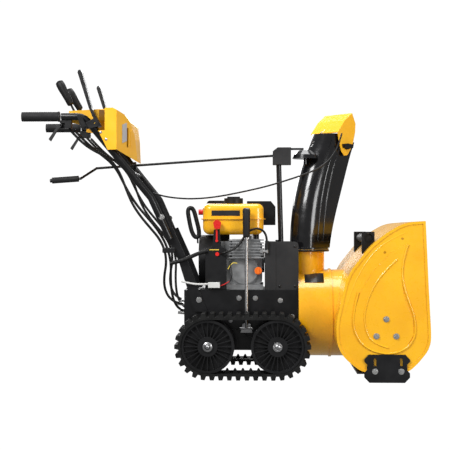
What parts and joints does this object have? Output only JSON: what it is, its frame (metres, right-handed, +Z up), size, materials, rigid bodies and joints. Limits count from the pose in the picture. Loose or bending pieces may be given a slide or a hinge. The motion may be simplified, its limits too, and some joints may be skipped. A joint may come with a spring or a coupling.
{
  "type": "two stage snowblower",
  "caption": "Tracked two stage snowblower with an open intake, turning chute, tilting deflector, engine, and handlebars with levers.",
  "frame": {"origin": "on the ground under the centre of the bounding box", "axes": "+X forward through the intake, +Y to the operator's left, +Z up"},
  "size_m": [1.3948, 0.623, 1.0625],
  "materials": {
    "yellow_paint": "gloss powder coat",
    "black_paint": "satin powder coat",
    "zinc": "zinc plated",
    "cast_grey": "rough cast",
    "aluminium": "bead blasted casting",
    "dark_plastic": "fine grain",
    "black_plastic": "satin",
    "gloss_black": "gloss",
    "yellow_plastic": "gloss",
    "grip_rubber": "soft touch",
    "track_rubber": "moulded",
    "cable_black": "cable jacket",
    "steel": "bare",
    "red_plastic": "gloss",
    "orange_plastic": "gloss"
  },
  "bodies": {
    "chassis": {"chassis_frame": "black_paint", "housing_shell": "yellow_paint", "right_side_plate": "yellow_paint", "left_side_plate": "yellow_paint", "impeller_barrel": "yellow_paint", "skid_shoes": "black_paint", "scraper_blade": "black_paint", "bolts": "zinc", "auger_bearings": "cast_grey", "auger_gearbox": "cast_grey", "belt_cover": "dark_plastic", "crankcase": "aluminium", "cylinder_head": "aluminium", "fuel_tank": "yellow_paint", "muffler": "black_paint", "air_box": "black_plastic", "recoil_cover": "black_plastic", "control_panel": "black_plastic", "handlebars": "black_paint", "handle_brackets": "black_paint", "grips": "grip_rubber", "console": "yellow_plastic", "chute_post": "black_paint", "gear_head": "dark_plastic", "tilt_cable": "cable_black", "cables": "cable_black", "tool_clips": "black_plastic", "drive_belts": "grip_rubber"},
    "track_frame": {"track_frame": "black_paint", "right_track": "track_rubber", "left_track": "track_rubber"},
    "drive_wheels": {"drive_axle": "steel", "drive_wheels": "black_plastic"},
    "idler_wheels": {"idler_wheels": "black_plastic"},
    "chute": {"chute_body": "gloss_black"},
    "deflector": {"deflector": "yellow_plastic", "deflector_knobs": "black_plastic", "deflector_spring": "steel"},
    "crank": {"crank_rod": "black_paint"},
    "crank_grip": {"crank_grip": "grip_rubber"},
    "crankshaft": {"crankshaft": "steel"},
    "impeller": {"impeller": "black_paint", "impeller_shaft": "steel"},
    "auger": {"auger": "black_paint"},
    "drive_disc": {"drive_disc": "aluminium"},
    "hex_shaft": {"hex_shaft": "steel"},
    "right_clutch_lever": {"right_clutch_lever": "black_paint"},
    "left_clutch_lever": {"left_clutch_lever": "black_paint"},
    "right_trigger": {"right_trigger": "dark_plastic"},
    "left_trigger": {"left_trigger": "dark_plastic"},
    "shift_lever": {"shift_lever": "black_plastic"},
    "tilt_lever": {"tilt_lever": "black_plastic"},
    "height_lever": {"height_lever": "steel"},
    "throttle_lever": {"throttle_lever": "red_plastic"},
    "choke_knob": {"choke_knob": "red_plastic"},
    "start_button": {"start_button": "red_plastic"},
    "oil_cap": {"oil_cap": "orange_plastic"},
    "fuel_cap": {"fuel_cap": "black_plastic"},
    "starter_handle": {"starter_handle": "black_plastic"},
    "clean_out_tool": {"clean_out_tool": "black_plastic"}
  },
  "joints": [
    {"name": "height_adjust", "type": "hinge", "parent": "chassis", "child": "track_frame", "pos_m": [0.187, 0, 0.113], "axis": [0, 1, 0], "range_deg": [-3, 3]},
    {"name": "drive_spin", "type": "hinge", "parent": "chassis", "child": "drive_wheels", "pos_m": [0.187, 0, 0.113], "axis": [0, 1, 0], "continuous": true},
    {"name": "idler_spin", "type": "hinge", "parent": "track_frame", "child": "idler_wheels", "pos_m": [-0.051, 0, 0.113], "axis": [0, 1, 0], "continuous": true},
    {"name": "chute_turn", "type": "hinge", "parent": "chassis", "child": "chute", "pos_m": [0.29, 0, 0.44], "axis": [0, 0, 1], "range_deg": [-135, 45], "deforming": ["tilt_cable"]},
    {"name": "deflector_tilt", "type": "hinge", "parent": "chute", "child": "deflector", "pos_m": [0.39404, 0.09368, 0.815], "axis": [-0.6691, 0.7431, 0], "range_deg": [0, 40], "deforming": ["deflector_spring"]},
    {"name": "crank_turn", "type": "hinge", "parent": "chassis", "child": "crank", "pos_m": [-0.47, 0, 0.735], "axis": [0.9976, 0, 0.0687], "range_deg": [-1080, 1080]},
    {"name": "grip_spin", "type": "hinge", "parent": "crank", "child": "crank_grip", "pos_m": [-0.523, -0.076, 0.6935], "axis": [0.9976, 0, 0.0687], "continuous": true},
    {"name": "crankshaft_spin", "type": "hinge", "parent": "chassis", "child": "crankshaft", "pos_m": [0, 0, 0.4], "axis": [1, 0, 0], "continuous": true},
    {"name": "impeller_spin", "type": "hinge", "parent": "chassis", "child": "impeller", "pos_m": [0, 0, 0.212], "axis": [1, 0, 0], "continuous": true},
    {"name": "auger_spin", "type": "hinge", "parent": "chassis", "child": "auger", "pos_m": [0.549, 0, 0.174], "axis": [0, 1, 0], "continuous": true},
    {"name": "drive_disc_spin", "type": "hinge", "parent": "chassis", "child": "drive_disc", "pos_m": [0, 0, 0.19], "axis": [1, 0, 0], "continuous": true},
    {"name": "hex_shaft_spin", "type": "hinge", "parent": "chassis", "child": "hex_shaft", "pos_m": [0.023, 0, 0.19], "axis": [0, 1, 0], "continuous": true},
    {"name": "right_clutch_press", "type": "hinge", "parent": "chassis", "child": "right_clutch_lever", "pos_m": [-0.477, -0.208, 0.866], "axis": [0, 1, 0], "range_deg": [-46, 0], "stiffness_Nm_per_rad": 1, "springref_deg": 17.19},
    {"name": "left_clutch_press", "type": "hinge", "parent": "chassis", "child": "left_clutch_lever", "pos_m": [-0.477, 0.208, 0.866], "axis": [0, 1, 0], "range_deg": [-46, 0], "stiffness_Nm_per_rad": 1, "springref_deg": 17.19},
    {"name": "right_trigger_pull", "type": "hinge", "parent": "chassis", "child": "right_trigger", "pos_m": [-0.562, -0.21, 0.872], "axis": [0, 1, 0], "range_deg": [0, 16], "stiffness_Nm_per_rad": 0.4, "springref_deg": -11.46},
    {"name": "left_trigger_pull", "type": "hinge", "parent": "chassis", "child": "left_trigger", "pos_m": [-0.562, 0.21, 0.872], "axis": [0, 1, 0], "range_deg": [0, 16], "stiffness_Nm_per_rad": 0.4, "springref_deg": -11.46},
    {"name": "shift_move", "type": "hinge", "parent": "chassis", "child": "shift_lever", "pos_m": [-0.5265, -0.04, 0.904], "axis": [0, 1, 0], "range_deg": [-8, 8]},
    {"name": "tilt_move", "type": "hinge", "parent": "chassis", "child": "tilt_lever", "pos_m": [-0.5052, 0.06, 0.9004], "axis": [0, 1, 0], "range_deg": [-8, 8]},
    {"name": "height_unlatch", "type": "hinge", "parent": "track_frame", "child": "height_lever", "pos_m": [0.079, -0.138, 0.165], "axis": [1, 0, 0], "range_deg": [0, 2], "stiffness_Nm_per_rad": 3, "springref_deg": -5.73},
    {"name": "throttle_move", "type": "hinge", "parent": "chassis", "child": "throttle_lever", "pos_m": [-0.026, -0.12, 0.472], "axis": [0, 1, 0], "range_deg": [-12, 12]},
    {"name": "choke_pull", "type": "slide", "parent": "chassis", "child": "choke_knob", "axis": [-1, 0, 0], "range_m": [0, 0.012]},
    {"name": "start_press", "type": "slide", "parent": "chassis", "child": "start_button", "axis": [0, 1, 0], "range_m": [0, 0.003], "stiffness_N_per_m": 400, "springref_m": -0.001},
    {"name": "oil_cap_remove", "type": "slide", "parent": "chassis", "child": "oil_cap", "axis": [0, -1, 0], "range_m": [0, 0.03]},
    {"name": "fuel_cap_remove", "type": "slide", "parent": "chassis", "child": "fuel_cap", "axis": [0, 0, 1], "range_m": [0, 0.03]},
    {"name": "starter_pull", "type": "slide", "parent": "chassis", "child": "starter_handle", "axis": [-1, 0, 0], "range_m": [0, 0.4], "stiffness_N_per_m": 20, "springref_m": -0.05},
    {"name": "tool_remove", "type": "slide", "parent": "chassis", "child": "clean_out_tool", "axis": [0, -1, 0], "range_m": [0, 0.2]}
  ],
  "couplings": [
    {"joint": "crank_turn", "follows": "chute_turn", "ratio": 6},
    {"joint": "impeller_spin", "follows": "crankshaft_spin", "ratio": 0.47},
    {"joint": "auger_spin", "follows": "crankshaft_spin", "ratio": 0.047},
    {"joint": "drive_disc_spin", "follows": "crankshaft_spin", "ratio": 0.54},
    {"joint": "tilt_move", "follows": "deflector_tilt", "ratio": 0.19}
  ]
}
